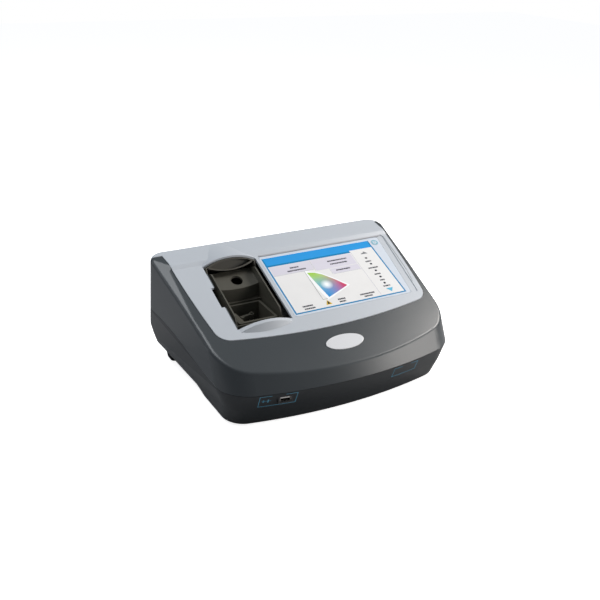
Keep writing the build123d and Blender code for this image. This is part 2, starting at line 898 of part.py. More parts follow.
def make_lever_spring():
    """Torsion spring round the lever's pin, its turns drawn as one coil."""
    wire = 0.35
    radius = 2.5
    path = Helix(pitch=1.1, height=4.4, radius=radius)
    section = Plane(origin=path @ 0, z_dir=path % 0) * Circle(wire)
    coil = sweep(section, path)
    return Pos(lever_pivot_x, lever_pivot_y, recess_floor + 1.6) * coil


# ---- display and its button

module_top = -cover_thickness - 0.2
module_bottom = module_top - display_thickness
frame_bottom = module_bottom - 0.2 - frame_thickness
board_top = frame_bottom - display_board_gap


def display_block(margin, hs):
    half_x = display_length / 2 + margin
    half_s = display_breadth / 2 + margin
    return slab((display_x - half_x, display_x + half_x), (display_s - half_s, display_s + half_s), hs)


def make_display_overlay():
    body = overlay_body(0, 0, (-overlay_sink - overlay_thickness, -overlay_sink))
    return body - panel_rod(button_x, button_s, (-20, 5), button_radius + button_gap)


def make_display_module():
    body = display_block(0, (module_bottom, module_top))
    return fillet(body.edges().filter_by(Axis((0, 0, 0), panel.z_dir)), 1.5)


def make_display_frame():
    plate = display_block(frame_margin, (frame_bottom, frame_bottom + frame_thickness))
    window = display_block(-12, (frame_bottom - 1, frame_bottom + 3))
    bar = display_block(0, (frame_bottom, frame_bottom + frame_thickness))
    bar = bar & slab((display_x - 8, display_x + 8), (0, far), (-far, far))
    rim = display_block(frame_margin, (frame_bottom, module_top))
    rim = rim - display_block(0.3, (frame_bottom - 1, 0))
    return plate - window + bar + rim


def make_display_board():
    body = display_block(-14, (board_top - board_thickness, board_top))
    underside = board_top - board_thickness
    chips = []
    for i in range(4):
        x = display_x - 50 + 30 * i
        chips.append(slab((x, x + 14), (display_s - 7, display_s + 7), (underside - 1.4, underside)))
    corners = []
    for dx in (-1, 1):
        for ds in (-1, 1):
            x = display_x + dx * (display_length / 2 - 18)
            s = display_s + ds * (display_breadth / 2 - 18)
            x_frame = display_x + dx * (display_length / 2 - 12 + 4)
            xs = (min(x, x_frame), max(x, x_frame))
            body = body + slab(xs, (s - 3, s + 3), (underside, board_top))
            corners.append(panel_rod(x_frame, s, (board_top, frame_bottom), 2.5))
    for piece in chips + corners:
        body = body + piece
    return body


button_top = -0.4


def make_power_button():
    low = button_top - button_length
    body = panel_rod(button_x, button_s, (low, button_top), button_radius)
    body = fillet(body.edges().group_by(Axis.Z)[-1], 0.4)
    return body + panel_rod(button_x, button_s, (low, low + button_flange), button_radius + 1.2)


def make_switch_board():
    top = button_top - button_length - button_travel - 2.0
    board = slab((124.5, 143.0), (button_s - 12, button_s + 10), (top - board_thickness, top))
    switch = slab((button_x - 3, button_x + 3), (button_s - 3, button_s + 3), (top, top + 1.6))
    return board + switch


# ---- front socket

def at_socket(shape):
    return Pos(socket_x, socket_face, socket_z) * Rot(0, 0, socket_turn) * shape


def front_socket_hole(gap):
    return at_socket(Box(socket_bezel_width + 2 * gap, 20, socket_bezel_height + 2 * gap))


def make_socket_bezel():
    body = at_socket(Pos(0, 3, 0) * Box(socket_bezel_width, 7, socket_bezel_height))
    return body - at_socket(Box(13.6, 40, 6.2))


def make_front_usb_socket():
    shell = at_socket(Pos(0, 7.5, 0) * Box(13.2, 14, 5.8))
    shell = shell - at_socket(Pos(0, 6.5, 0) * Box(12.4, 14, 5.0))
    tongue = at_socket(Pos(0, 8, 1.0) * Box(11.0, 12.8, 1.6))
    return shell + tongue


def make_front_usb_board():
    board = at_socket(Pos(0, 25, -3.9) * Box(26, 28, board_thickness))
    low = sole_height + wall
    for dx in (-10, 10):
        leg = at_socket(Pos(dx, 28, 0) * Cylinder(3, 1))
        centre = leg.center()
        board = board + post(centre.X, centre.Y, (low, socket_z - 4.5), 3)
    return board


def make_reader_board():
    board = block((44, 90), (34, 34 + board_thickness), (sole_height + wall, 50))
    coil = block((50, 84), (33, 34), (22, 46)) - block((53, 81), (32, 35), (25, 43))
    return board + coil


# ---- chassis and boards

def make_chassis_plate():
    plate = block(
        either_side(chassis_half_width), (chassis_front, chassis_rear),
        (chassis_height, chassis_height + chassis_thickness),
    )
    for x, y in chassis_points():
        plate = plate - post(x, y, (chassis_height - 1, chassis_height + 3), screw_radius + 0.2)
    zs = (chassis_height - 1, chassis_height + 3)
    vents = [block((x - 1.5, x + 1.5), (150, 200), zs) for x in range(-140, -125, 7)]
    for vent in vents:
        plate = plate - vent
    return plate


def make_mainboard():
    top = mainboard_height + board_thickness
    ys = (mainboard_front, mainboard_rear)
    board = block((mainboard_left, mainboard_right), ys, (mainboard_height, top))
    for x, y in mainboard_points():
        board = board - post(x, y, (0, far), screw_radius + 0.2)
    left = mainboard_left
    chips = [
        block((left + 28, left + 54), (66, 92), (top, top + 2.2)),
        block((left + 60, left + 78), (60, 72), (top, top + 1.6)),
        block((left + 60, left + 78), (80, 92), (top, top + 1.6)),
        block((left + 86, left + 108), (62, 68), (top, top + 7)),
        block((left + 86, left + 108), (88, 96), (top, top + 9)),
    ]
    for chip in chips:
        board = board + chip
    return board


cell_centre = (mainboard_left + 17.0, 72.0)
backup_cell_radius = 8.0


def make_backup_cell():
    low = mainboard_height + board_thickness
    return post(cell_centre[0], cell_centre[1], (low, low + 3.2), backup_cell_radius)


def make_loudspeaker():
    low = sole_height + wall
    x, y = -30.0, 72.0
    body = post(x, y, (low, low + 4), 20) + post(x, y, (low, low + 12), 12)
    return body


# ---- optics

chassis_top = chassis_height + chassis_thickness


def make_optics_block():
    low = chassis_top
    outer = block((optics_left, optics_right), (optics_front, optics_rear), (low, optics_top))
    inner = block(
        (optics_left + optics_wall, optics_right - optics_wall),
        (optics_front + optics_wall, optics_rear - optics_wall),
        (low + optics_wall, optics_top + 1),
    )
    body = outer - inner
    for y in (cell_y, vial_y):
        body = body - rod_x(y, beam_height, (optics_left - 5, optics_left + 8), beam_hole_radius)
    return body - rod_x(lamp_beam_y, beam_height, (optics_right - 8, optics_right + 5), beam_hole_radius)


def make_optics_lid():
    plate = block((optics_left, optics_right), (optics_front, optics_rear), (optics_top, optics_top + 2))
    return plate - post(turntable_x, turntable_y, (0, far), shaft_radius + 2)


def make_turntable_bush():
    body = post(turntable_x, turntable_y, (optics_top - 3, optics_top + 2), shaft_radius + 2)
    flange = post(turntable_x, turntable_y, (optics_top - 4, optics_top), shaft_radius + 4)
    return body + flange - post(turntable_x, turntable_y, (0, far), shaft_radius + running_clearance)


def make_grating_turntable():
    disc = post(turntable_x, turntable_y, (beam_height - 16, beam_height - 12), turntable_radius)
    shaft = post(turntable_x, turntable_y, (beam_height - 16, gear_level + gear_height), shaft_radius)
    return disc + shaft


def make_grating():
    low = beam_height - 12
    back = block((turntable_x - 12, turntable_x + 12), (turntable_y - 11, turntable_y - 5), (low, low + 24))
    return back


def make_fold_mirrors():
    glass = []
    for x, y, turn in ((-26.0, 146.0, 40.0), (28.0, 160.0, -35.0)):
        disc = Cylinder(11, 5)
        foot = Pos(0, -11.5, 0) * Box(14, 6, 8)
        mirror = Rot(90, 0, 0) * (disc + foot)
        placed = Pos(x, y, beam_height) * Rot(0, 0, turn) * mirror
        leg = post(x, y, (chassis_top + optics_wall, beam_height - 14.0), 3)
        glass.append(placed + leg)
    return Compound(glass)


def make_beam_splitter():
    x = optics_left + 10
    glass = Pos(x, vial_y, beam_height) * Rot(0, 0, 45) * Box(1.2, 14, 14)
    zs = (chassis_top + optics_wall, beam_height - 7)
    foot = block((x - 2.5, x + 2.5), (vial_y - 2.5, vial_y + 2.5), zs)
    return glass + foot


def make_reference_detector():
    y = optics_rear - optics_wall
    x = optics_left + 10
    board = block((x - 6, x + 6), (y - 1.6, y), (beam_height - 10, beam_height + 10))
    return board + rod_y(x, beam_height, (y - 5, y - 1.6), 3.5)


def gear_face(teeth, turn, first, last, bore):
    """Straight-flanked teeth with generous play; only the teeth from first to last."""
    pitch_radius = gear_module * teeth / 2
    root = pitch_radius - 1.25 * gear_module
    tip = pitch_radius + 0.8 * gear_module
    face = Circle(root)
    if bore > 0:
        face = face - Circle(bore)
    step = 2 * pi / teeth
    for i in range(first, last + 1):
        middle = turn + i * step
        root_half = 0.25 * step
        tip_half = 0.10 * step
        corners = [
            ((root - 0.3) * cos(middle - root_half), (root - 0.3) * sin(middle - root_half)),
            (tip * cos(middle - tip_half), tip * sin(middle - tip_half)),
            (tip * cos(middle + tip_half), tip * sin(middle + tip_half)),
            ((root - 0.3) * cos(middle + root_half), (root - 0.3) * sin(middle + root_half)),
        ]
        face = face + make_face(Polyline(*corners, close=True))
    return face


gear_distance = gear_module * (sector_teeth + pinion_teeth) / 2


def make_sector_gear():
    """A gear cut down to the sector that meets the pinion, which lies towards the front."""
    face = gear_face(sector_teeth, -pi / 2, -9, 9, shaft_radius)
    reach = gear_module * sector_teeth / 2 + 2
    spread = tan(radians(75))
    wedge = make_face(Polyline((0, 2), (reach * spread, -reach), (-reach * spread, -reach), close=True))
    sector = (face & wedge) + (Circle(9) - Circle(shaft_radius))
    body = extrude(sector, gear_height - 0.4)
    return Pos(turntable_x, turntable_y, gear_level + 0.2) * body


def pinion_spot():
    return turntable_x, turntable_y - gear_distance


def make_motor_pinion():
    face = gear_face(pinion_teeth, pi / 2 + pi / pinion_teeth, 0, pinion_teeth - 1, 0)
    x, y = pinion_spot()
    body = extrude(face, gear_height)
    shaft = post(x, y, (gear_level, gear_level + gear_height + 6), 1.5)
    return Pos(x, y, gear_level) * body + shaft


def make_stepper_motor():
    x, y = pinion_spot()
    low = gear_level + gear_height + 3
    half = motor_size / 2
    can = block((x - half, x + half), (y - half, y + half), (low, low + motor_height))
    can = chamfer(can.edges().filter_by(Axis.Z), 3)
    return can - post(x, y, (low - 1, low + 5), 1.5 + running_clearance)


def make_motor_bracket():
    x, y = pinion_spot()
    low = gear_level + gear_height + 1.4
    half = motor_size / 2 + 3
    top = block((x - half, x + half), (y - half + 3, y + half - 3), (low, low + 1.6))
    top = top - post(x, y, (0, far), 4)
    for side in (-1, 1):
        edge = x + side * half
        leg = sorted((edge, edge - side * 1.6))
        top = top + block(leg, (y - half + 3, y + 4), (optics_top + 2, low + 1.6))
    return top


# ---- lamp, lens and filters

def make_lamp_housing():
    outer = block((lamp_left, lamp_right), (lamp_front, lamp_rear), (chassis_top, lamp_top))
    ys = (lamp_front + 3, lamp_rear + 1)
    inner = block((lamp_left + 3, lamp_right - 3), ys, (chassis_top + 3, lamp_top + 1))
    body = outer - inner
    body = body - rod_x(lamp_beam_y, beam_height, (lamp_left - 2, lamp_left + 5), lens_radius)
    fins = 6
    for i in range(fins):
        z = chassis_top + 8 + i * (lamp_top - chassis_top - 14) / (fins - 1)
        fin = block((lamp_right - 1, lamp_right + 7), (lamp_front + 3, lamp_rear - 6), (z - 0.8, z + 0.8))
        body = body + fin
    return body


lamp_x = (lamp_left + lamp_right) / 2


def make_lamp_holder():
    low = chassis_top + 3
    body = post(lamp_x, lamp_beam_y, (low, low + 13), 9)
    return body - post(lamp_x, lamp_beam_y, (low + 8, low + 14), 5)


def make_halogen_lamp():
    low = chassis_top + 11
    base = post(lamp_x, lamp_beam_y, (low, low + 8), 4.9)
    bulb = post(lamp_x, lamp_beam_y, (low + 8, beam_height + 4), lamp_radius)
    dome = Pos(lamp_x, lamp_beam_y, beam_height + 4) * Sphere(lamp_radius)
    return base + bulb + dome


def make_condenser_lens():
    edge = lens_thickness / 2 - lens_bulge
    right = ThreePointArc((edge, lens_radius), (lens_thickness / 2, 0), (edge, -lens_radius))
    left = ThreePointArc((-edge, -lens_radius), (-lens_thickness / 2, 0), (-edge, lens_radius))
    below = Line((edge, -lens_radius), (-edge, -lens_radius))
    above = Line((-edge, lens_radius), (edge, lens_radius))
    face = make_face([right, below, left, above])
    half = face & Pos(0, lens_radius / 2) * Rectangle(lens_thickness, lens_radius)
    return Pos(lens_x, lamp_beam_y, beam_height) * revolve(half, Axis.X)


def make_lens_bracket():
    xs = (bracket_x - 1, bracket_x + 1)
    plate = block(xs, (lamp_beam_y - 14, lamp_beam_y + 14), (chassis_top, wheel_z + 12))
    foot = block((xs[0], xs[1] + 8), (lamp_beam_y - 14, lamp_beam_y + 14), (chassis_top, chassis_top + 2))
    plate = plate + foot
    ring = rod_x(lamp_beam_y, beam_height, (xs[0], lens_x + lens_thickness), lens_radius + 1.5)
    plate = plate + ring - rod_x(lamp_beam_y, beam_height, (xs[0] - 5, xs[1] + 20), lens_radius)
    return plate - rod_x(lamp_beam_y, wheel_z, (xs[0] - 5, xs[1] + 5), 3)


wheel_z = beam_height + filter_circle


def filter_spots():
    spots = []
    for i in range(filter_count):
        angle = -pi / 2 + 2 * pi * i / filter_count
        spots.append((lamp_beam_y + filter_circle * cos(angle), wheel_z + filter_circle * sin(angle)))
    return spots


def make_filter_wheel():
    xs = (wheel_x - wheel_thickness / 2, wheel_x + wheel_thickness / 2)
    body = rod_x(lamp_beam_y, wheel_z, xs, wheel_radius)
    body = body + rod_x(lamp_beam_y, wheel_z, (xs[0] - 1, xs[1] + 1), 5)
    for y, z in filter_spots():
        body = body - rod_x(y, z, (xs[0] - 2, xs[1] + 2), filter_radius)
    return body + rod_x(lamp_beam_y, wheel_z, (xs[1], bracket_x + 7), 1.5)


def make_filter_glasses():
    xs = (wheel_x - 1, wheel_x + 1)
    glasses = [rod_x(y, z, xs, filter_radius) for y, z in filter_spots()[1:]]
    return Compound(glasses)


def make_filter_motor():
    xs = (bracket_x + 1, bracket_x + 10)
    body = rod_x(lamp_beam_y, wheel_z, xs, 8.5)
    return body - rod_x(lamp_beam_y, wheel_z, (xs[0] - 1, bracket_x + 7.5), 1.5 + running_clearance)


# ---- detector, rear sockets, fan and lamp door

def make_sample_detector_board():
    x = compartment_x - 45.0
    board = block((x - board_thickness, x), (cell_y - 16, vial_y + 12), (chassis_top, beam_height + 14))
    for y in (cell_y, vial_y):
        board = board + rod_x(y, beam_height, (x, x + 4), 5)
    return board


def make_io_plate():
    plate = block((io_left - 1, io_right + 3), (io_face - 1.2, io_face), (chassis_top + 0.3, io_top + 1))
    for xs, zs in io_cutouts():
        plate = plate - block(xs, (io_face - 5, io_face + 5), zs)
    return plate


def io_rows():
    low = io_board_height + board_thickness
    return [
        (io_left + 14.0, 16.4, 13.6, low),
        (io_left + 40.0, 14.6, 15.8, low),
        (io_left + 64.0, 12.2, 11.0, low),
        (io_left + 88.0, 11.0, inlet_height, low),
    ]


def io_cutouts():
    cuts = []
    for x, wide, high, low in io_rows():
        cuts.append(((x - wide / 2 - 0.3, x + wide / 2 + 0.3), (low - 0.3, low + high + 0.3)))
    return cuts


def io_seat(index):
    row = io_rows()[index]
    return (row[0], row[-1])


def io_body(index, length):
    x, wide, high, low = io_rows()[index]
    return block((x - wide / 2, x + wide / 2), (io_face + 0.4 - length, io_face + 0.4), (low, low + high))


def make_ethernet_socket():
    body = io_body(0, 21)
    x, low = io_seat(0)
    return body - block((x - 5.9, x + 5.9), (io_face - 12, io_face + 5), (low + 2.2, low + 10.4))


def make_twin_usb_socket():
    body = io_body(1, 18)
    x, low = io_seat(1)
    for z in (low + 1.2, low + 8.8):
        body = body - block((x - 6.3, x + 6.3), (io_face - 10, io_face + 5), (z, z + 5.2))
        body = body + block((x - 5.5, x + 5.5), (io_face - 11, io_face - 1), (z + 2.6, z + 4.2))
    return body


def make_device_usb_socket():
    body = io_body(2, 16)
    x, low = io_seat(2)
    body = body - block((x - 4.2, x + 4.2), (io_face - 9, io_face + 5), (low + 1.6, low + 9.4))
    return body + block((x - 2.8, x + 2.8), (io_face - 10, io_face - 1), (low + 3.9, low + 7.1))


def make_dc_inlet():
    body = io_body(3, 14)
    x, low = io_seat(3)
    middle = low + inlet_height / 2
    barrel = extrude(RegularPolygon(3.2, 8), 14)
    pin = extrude(RegularPolygon(1.0, 4), 9)
    placed = Pos(x, io_face, middle) * Rot(90, 0, 0)
    return body - placed * Pos(0, 0, -5) * barrel + placed * Pos(0, 0, 1) * pin


def make_io_board():
    zs = (io_board_height, io_board_height + board_thickness)
    body = block((io_left + 2, io_right - 2), (io_face - 34, io_face - 2), zs)
    for x in (io_left + 10, io_right - 10):
        for y in (io_face - 29, io_face - 10):
            body = body + post(x, y, (chassis_top, io_board_height), 3)
    return body


def lamp_door_block(gap):
    zs = (door_bottom + gap, door_top - gap)
    return block((door_left + gap, door_right - gap), (depth - 15, depth + 5), zs)


def make_lamp_door():
    skin = whole_form(0) - whole_form(wall)
    door = skin & lamp_door_block(door_gap)
    for i in range(5):
        z = door_bottom + 8 + 6 * i
        door = door - block((door_left + 14, door_right - 14), (depth - 20, depth + 5), (z, z + 2.4))
    for x in (door_left + 5, door_right - 5):
        door = door - rod_y(x, door_middle, (depth - 20, depth + 5), screw_radius + screw_slack)
        door = door - rod_y(x, door_middle, (door_seat, depth + 5), screw_head_radius + screw_slack)
    return door


door_middle = (door_bottom + door_top) / 2
door_seat = depth - 1.6


def door_lugs():
    """Lugs inside the rear wall, beside its opening, that the door's screws go into."""
    lugs = []
    inner = depth - wall - 2.4
    for edge, side in ((door_left, 1), (door_right, -1)):
        behind = sorted((edge - side * 6, edge + side * 10))
        beside = sorted((edge - side * 6, edge - side * 0.3))
        zs = (door_middle - 6, door_middle + 6)
        lug = block(behind, (inner - 3, inner), zs) + block(beside, (inner - 3, depth - wall / 2), zs)
        lugs.append(lug - rod_y(edge + side * 5, door_middle, (0, far), screw_radius))
    return Compound(lugs)


def make_door_screws():
    screws = []
    for x in (door_left + 5, door_right - 5):
        shank = rod_y(x, door_middle, (depth - 12, door_seat), screw_radius - 0.02)
        screws.append(shank + rod_y(x, door_middle, (door_seat, depth - 0.3), screw_head_radius))
    return Compound(screws)


def make_fan_frame():
    half = fan_size / 2
    xs = (fan_x - half, fan_x + half)
    zs = (fan_z - half, fan_z + half)
    body = block(xs, (fan_rear - fan_thickness, fan_rear), zs)
    body = fillet(body.edges().filter_by(Axis.Y), 4)
    body = body - rod_y(fan_x, fan_z, (fan_rear - fan_thickness - 1, fan_rear + 1), half - 2)
    spider = rod_y(fan_x, fan_z, (fan_rear - fan_thickness, fan_rear - fan_thickness + 2), 9)
    for i in range(3):
        arm = Pos(0, 0, (half - 1) / 2) * Box(3, 2, half - 1)
        spider = spider + Pos(fan_x, fan_rear - fan_thickness + 1, fan_z) * Rot(0, 120 * i, 0) * arm
    pin = rod_y(fan_x, fan_z, (fan_rear - fan_thickness, fan_rear - 3), 1.5)
    return body + spider + pin


def make_fan_rotor():
    front = fan_rear - fan_thickness + 3
    hub = rod_y(fan_x, fan_z, (front, fan_rear - 1), 8)
    rotor = hub - rod_y(fan_x, fan_z, (front - 1, fan_rear - 2.5), 1.5 + running_clearance)
    length = fan_size / 2 - 2 - 8
    for i in range(blade_count):
        blade = Pos(0, 0, 7 + length / 2) * Rot(0, 0, 35) * Box(1.2, 9, length)
        middle = (front + fan_rear - 1) / 2
        rotor = rotor + Pos(fan_x, middle, fan_z) * Rot(0, 360 * i / blade_count, 0) * blade
    return rotor


pieces = {
    "base_shell": make_base_shell,
    "upper_housing": make_upper_housing,
    "rubber_feet": make_rubber_feet,
    "base_screws": make_base_screws,
    "top_cover": make_top_cover,
    "cover_screws": make_cover_screws,
    "badge_plate": make_badge_plate,
    "lid_shell": make_lid_shell,
    "lid_pins": make_lid_pins,
    "lid_guides": make_lid_guides,
    "compartment_tub": make_compartment_tub,
    "vial_sleeve": make_vial_sleeve,
    "cuvette_adapter": make_cuvette_adapter,
    "cell_lever": make_cell_lever,
    "lever_spring": make_lever_spring,
    "display_overlay": make_display_overlay,
    "display_module": make_display_module,
    "display_frame": make_display_frame,
    "display_board": make_display_board,
    "power_button": make_power_button,
    "switch_board": make_switch_board,
    "socket_bezel": make_socket_bezel,
    "front_usb_socket": make_front_usb_socket,
    "front_usb_board": make_front_usb_board,
    "reader_board": make_reader_board,
    "chassis_plate": make_chassis_plate,
    "mainboard": make_mainboard,
    "backup_cell": make_backup_cell,
    "loudspeaker": make_loudspeaker,
    "optics_block": make_optics_block,
    "optics_lid": make_optics_lid,
    "turntable_bush": make_turntable_bush,
    "grating_turntable": make_grating_turntable,
    "grating": make_grating,
    "fold_mirrors": make_fold_mirrors,
    "beam_splitter": make_beam_splitter,
    "reference_detector": make_reference_detector,
    "sector_gear": make_sector_gear,
    "motor_pinion": make_motor_pinion,
    "stepper_motor": make_stepper_motor,
    "motor_bracket": make_motor_bracket,
    "lamp_housing": make_lamp_housing,
    "lamp_holder": make_lamp_holder,
    "halogen_lamp": make_halogen_lamp,
    "condenser_lens": make_condenser_lens,
    "lens_bracket": make_lens_bracket,
    "filter_wheel": make_filter_wheel,
    "filter_glasses": make_filter_glasses,
    "filter_motor": make_filter_motor,
    "sample_detector_board": make_sample_detector_board,
    "io_plate": make_io_plate,
    "io_board": make_io_board,
    "ethernet_socket": make_ethernet_socket,
    "twin_usb_socket": make_twin_usb_socket,
    "device_usb_socket": make_device_usb_socket,
    "dc_inlet": make_dc_inlet,
    "lamp_door": make_lamp_door,
    "door_screws": make_door_screws,
    "fan_frame": make_fan_frame,
    "fan_rotor": make_fan_rotor,
}

os.makedirs("parts", exist_ok=True)
for name, make in pieces.items():
    save(make(), name)
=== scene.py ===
import bpy
import json
import math
import random
from mathutils import Matrix, Vector


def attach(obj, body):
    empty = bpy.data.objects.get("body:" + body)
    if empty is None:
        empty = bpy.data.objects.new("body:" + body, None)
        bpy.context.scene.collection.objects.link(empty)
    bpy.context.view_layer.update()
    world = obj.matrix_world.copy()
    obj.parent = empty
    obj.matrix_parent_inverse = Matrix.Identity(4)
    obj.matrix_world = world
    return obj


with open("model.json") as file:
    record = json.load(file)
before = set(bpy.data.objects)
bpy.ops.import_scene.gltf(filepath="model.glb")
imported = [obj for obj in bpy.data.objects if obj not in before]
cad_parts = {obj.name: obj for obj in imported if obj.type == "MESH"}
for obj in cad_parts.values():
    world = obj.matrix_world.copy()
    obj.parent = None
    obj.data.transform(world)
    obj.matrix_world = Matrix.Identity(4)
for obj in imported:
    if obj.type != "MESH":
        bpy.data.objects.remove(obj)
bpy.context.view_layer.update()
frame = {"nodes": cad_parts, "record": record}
nodes = frame["nodes"]
mm = 0.001
print("frame loaded:", len(nodes), "nodes")


# a shader socket that adds, multiplies and compares as a plain value does
class Signal:
    def __init__(self, finish, socket):
        self.finish = finish
        self.socket = socket

    def join(self, operation, first, second):
        return self.finish.node("ShaderNodeMath", {"operation": operation}, {0: first, 1: second})

    def __add__(self, other):
        return self.join("ADD", self, other)

    def __radd__(self, other):
        return self.join("ADD", other, self)

    def __sub__(self, other):
        return self.join("SUBTRACT", self, other)

    def __rsub__(self, other):
        return self.join("SUBTRACT", other, self)

    def __mul__(self, other):
        return self.join("MULTIPLY", self, other)

    def __rmul__(self, other):
        return self.join("MULTIPLY", other, self)

    def __gt__(self, other):
        return self.join("GREATER_THAN", self, other)

    def clamped(self):
        return self.finish.node("ShaderNodeClamp", {}, {"Value": self})


class Finish:
    def __init__(self, name):
        self.material = bpy.data.materials.new(name)
        self.material.use_nodes = True
        self.tree = self.material.node_tree
        self.tree.nodes.clear()
        self.where = self.node("ShaderNodeTexCoord", {}, {}, "Object")

    def node(self, kind, settings, sockets, output=0):
        made = self.tree.nodes.new(kind)
        for key, value in settings.items():
            setattr(made, key, value)
        for key, value in sockets.items():
            if isinstance(value, Signal):
                self.tree.links.new(value.socket, made.inputs[key])
            else:
                made.inputs[key].default_value = value
        return Signal(self, made.outputs[output]) if len(made.outputs) else None

    def axes(self):
        split = self.node("ShaderNodeSeparateXYZ", {}, {"Vector": self.where})
        return [Signal(self, output) for output in split.socket.node.outputs]

    def noise(self, scale, detail=2.0, stretch=(1, 1, 1)):
        where = self.node("ShaderNodeMapping", {}, {"Vector": self.where, "Scale": stretch})
        return self.node("ShaderNodeTexNoise", {}, {"Vector": where, "Scale": scale, "Detail": detail})

    def mix(self, factor, first, second):
        return self.node("ShaderNodeMix", {"data_type": "RGBA"}, {0: factor, 6: first, 7: second}, 2)

    def bump(self, height, strength, distance):
        sockets = {"Height": height, "Strength": strength, "Distance": distance}
        return self.node("ShaderNodeBump", {}, sockets)

    def surface(self, sockets):
        shader = self.node("ShaderNodeBsdfPrincipled", {}, sockets)
        self.node("ShaderNodeOutputMaterial", {}, {"Surface": shader})
        return self.material


def shaded(colour, factor):
    return (colour[0] * factor, colour[1] * factor, colour[2] * factor, 1.0)


# ---- finishes

def mouldedPlastic(name, colour, roughness, grain, depth, cloud=0.06, coat=0.0, shine=0.5):
    # grain is the size of the moulded texture in millimetres, cloud how much the tone drifts
    finish = Finish(name)
    drift = finish.noise(9.0, 3.0)
    fine = finish.noise(1.0 / (grain * mm), 3.0)
    tone = finish.mix(drift, shaded(colour, 1 - cloud), shaded(colour, 1 + cloud))
    tone = finish.mix(fine * 0.5, tone, shaded(colour, 0.86))
    gloss = roughness + 0.10 * (drift - 0.5) + 0.06 * (fine - 0.5)
    return finish.surface({
        "Base Color": tone, "Roughness": gloss, "Coat Weight": coat, "Coat Roughness": 0.2,
        "Specular IOR Level": shine, "Normal": finish.bump(fine, 0.35, depth * mm),
    })


def drawnMetal(name, colour, roughness, stretch):
    finish = Finish(name)
    streak = finish.noise(700.0, 2.0, stretch)
    stain = finish.noise(60.0, 3.0)
    tone = finish.mix(stain, shaded(colour, 0.86), shaded(colour, 1.08))
    gloss = roughness + 0.16 * (streak - 0.5) + 0.08 * (stain - 0.5)
    return finish.surface({
        "Base Color": tone, "Metallic": 1.0, "Roughness": gloss,
        "Normal": finish.bump(streak, 0.12, 0.02 * mm),
    })


def circuitBoard(name):
    finish = Finish(name)
    brick = finish.node("ShaderNodeTexBrick", {"offset": 0.35}, {
        "Vector": finish.where, "Color1": (0.010, 0.100, 0.045, 1), "Color2": (0.014, 0.130, 0.060, 1),
        "Mortar": (0.03, 0.20, 0.10, 1), "Scale": 240.0, "Mortar Size": 0.05, "Mortar Smooth": 0.1,
    })
    speck = finish.noise(420.0, 1.0) > 0.68
    tone = finish.mix(speck, brick, (0.62, 0.55, 0.36, 1))
    return finish.surface({
        "Base Color": tone, "Roughness": 0.34 + 0.12 * finish.noise(80.0),
        "Normal": finish.bump(finish.noise(900.0, 1.0), 0.15, 0.03 * mm),
    })


def clearGlass(name, colour, alpha):
    finish = Finish(name)
    smear = finish.noise(70.0, 3.0)
    return finish.surface({
        "Base Color": shaded(colour, 1.0), "Roughness": 0.03 + 0.07 * smear,
        "Alpha": alpha + 0.05 * (smear - 0.5), "IOR": 1.5, "Coat Weight": 0.5,
    })


def mirrorGlass(name):
    finish = Finish(name)
    haze = finish.noise(110.0, 2.0)
    tone = finish.mix(haze, (0.80, 0.81, 0.82, 1), (0.90, 0.91, 0.92, 1))
    return finish.surface({"Base Color": tone, "Metallic": 1.0, "Roughness": 0.04 + 0.05 * haze})


def coverPlastic(name):
    # pale blue grey and satin, with a very fine grain
    colour = (0.500, 0.532, 0.572)
    finish = Finish(name)
    drift = finish.noise(7.0, 2.0)
    fine = finish.noise(1400.0, 2.0)
    tone = finish.mix(drift, shaded(colour, 0.97), shaded(colour, 1.03))
    tone = finish.mix(fine * 0.4, tone, shaded(colour, 0.90))
    return finish.surface({
        "Base Color": tone, "Roughness": 0.40 + 0.10 * (drift - 0.5), "Specular IOR Level": 0.35,
        "Normal": finish.bump(fine, 0.18, 0.03 * mm),
    })


def screenPrint(name, colour, glow, cloud=0.03):
    finish = Finish(name)
    drift = finish.noise(45.0, 1.0)
    pixel = finish.noise(2600.0, 0.0)
    tone = finish.mix(drift, shaded(colour, 1 - cloud), shaded(colour, 1 + cloud))
    tone = finish.mix(pixel * 0.12, tone, shaded(colour, 0.93))
    return finish.surface({
        "Base Color": tone, "Roughness": 0.16 + 0.05 * drift, "Specular IOR Level": 0.3,
        "Emission Color": tone, "Emission Strength": glow,
    })


# the display's own zero across, and the line where its plane starts
panelTilt = math.radians(20.65)
zeroX, browY, browZ = 7.0 * mm, -122.0 * mm, 68.4 * mm


def colourField(name, corners, reach, centre, core):
    # each corner's colour fades out over its reach, and the core is nearly white
    finish = Finish(name)
    x, y, z = finish.axes()
    up = (z - browZ) * (1 / math.sin(panelTilt))

    def share(across, slope, radius):
        dx = (x - zeroX - across * mm) * (1 / mm)
        dy = (up - slope * mm) * (1 / mm)
        near = finish.node("ShaderNodeMath", {"operation": "POWER"}, {0: dx * dx + dy * dy, 1: 0.5})
        return (1.0 - near * (1 / radius)).clamped()

    tone = (0.8, 0.8, 0.8, 1)
    for (across, slope), colour in corners:
        tone = finish.mix(share(across, slope, reach), tone, colour)
    tone = finish.mix(share(*centre, core), tone, (0.86, 0.88, 0.88, 1))
    return finish.surface({
        "Base Color": tone, "Roughness": 0.18, "Emission Color": tone, "Emission Strength": 0.25,
    })


housingTone = (0.050, 0.058, 0.064)
# the base's own near-black plastic, darkened further as painted shade for the low, downward-facing base
baseToneAndShade = (0.018, 0.022, 0.025)
wellTone = (0.075, 0.071, 0.056)

